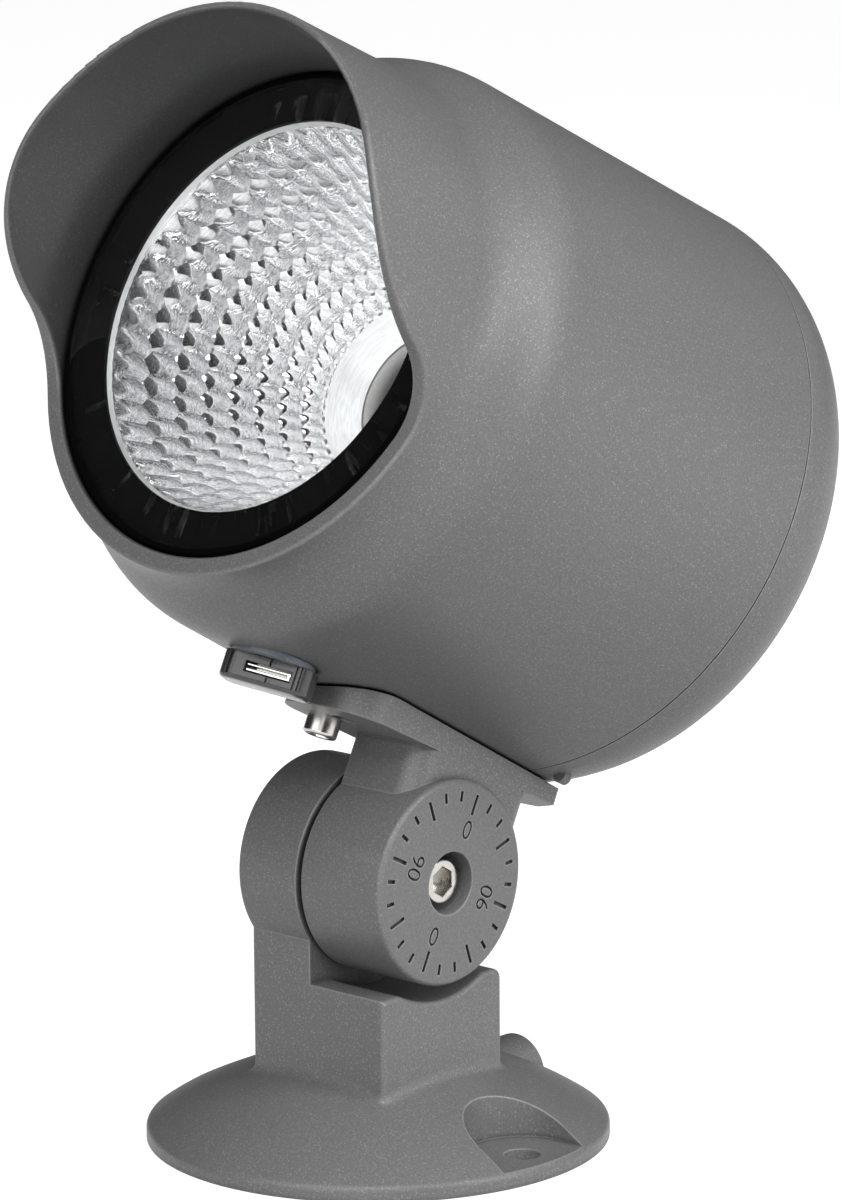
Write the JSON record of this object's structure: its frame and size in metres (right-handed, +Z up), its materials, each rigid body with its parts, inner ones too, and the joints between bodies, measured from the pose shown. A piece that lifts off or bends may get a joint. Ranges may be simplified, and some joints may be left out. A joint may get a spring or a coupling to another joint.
{
  "type": "adjustable outdoor spotlight",
  "caption": "Hooded round spotlight head with a faceted reflector behind flat glass, on a tilting screw-clamped knuckle with a dial and a round surface-mount base.",
  "frame": {"origin": "centre of the base's underside, midway between the two mounting holes", "axes": "+Z up out of the mounting surface, light thrown towards -Y, tilt dial on the +X side, pivot along X"},
  "size_m": [0.1202, 0.1448, 0.2166],
  "materials": {
    "coated_metal": "fine-textured powder coat",
    "black_rubber": "matt",
    "silicone": "translucent satin",
    "friction_disc": "matt",
    "stainless": "satin",
    "glass": "clear, polished",
    "black_border": "gloss",
    "reflector_metal": "bright faceted",
    "lamp_board": "matt",
    "lamp_disc": "satin phosphor",
    "holder_plastic": "satin",
    "bare_aluminium": "milled",
    "driver_case": "satin",
    "gloss_black": "gloss"
  },
  "bodies": {
    "base": {"base_casting": "coated_metal", "cable_grommet": "black_rubber", "friction_washer": "friction_disc", "pivot_screw": "stainless", "pivot_washer": "stainless"},
    "head": {"head_bracket": "coated_metal", "bracket_gasket": "black_rubber", "bracket_screws": "stainless", "wire_bush": "black_rubber", "housing": "coated_metal", "rear_cover": "coated_metal", "rear_seal": "black_rubber", "rear_screws": "stainless", "front_glass": "glass", "glass_seal": "black_rubber", "reflector_bezel": "black_border", "reflector": "reflector_metal", "led_board": "lamp_board", "led_emitter": "lamp_disc", "led_holder": "holder_plastic", "holder_screws": "stainless", "heat_spreader": "bare_aluminium", "spreader_screws": "stainless", "led_driver": "driver_case", "driver_screws": "stainless", "terminal_block": "holder_plastic", "breather_plug": "gloss_black", "breather_clip": "stainless", "breather_seal": "silicone"}
  },
  "joints": [
    {"name": "head_tilt", "type": "hinge", "parent": "base", "child": "head", "pos_m": [0, 0, 0.052], "axis": [-1, 0, 0], "range_deg": [-86.5, 58.5]}
  ]
}
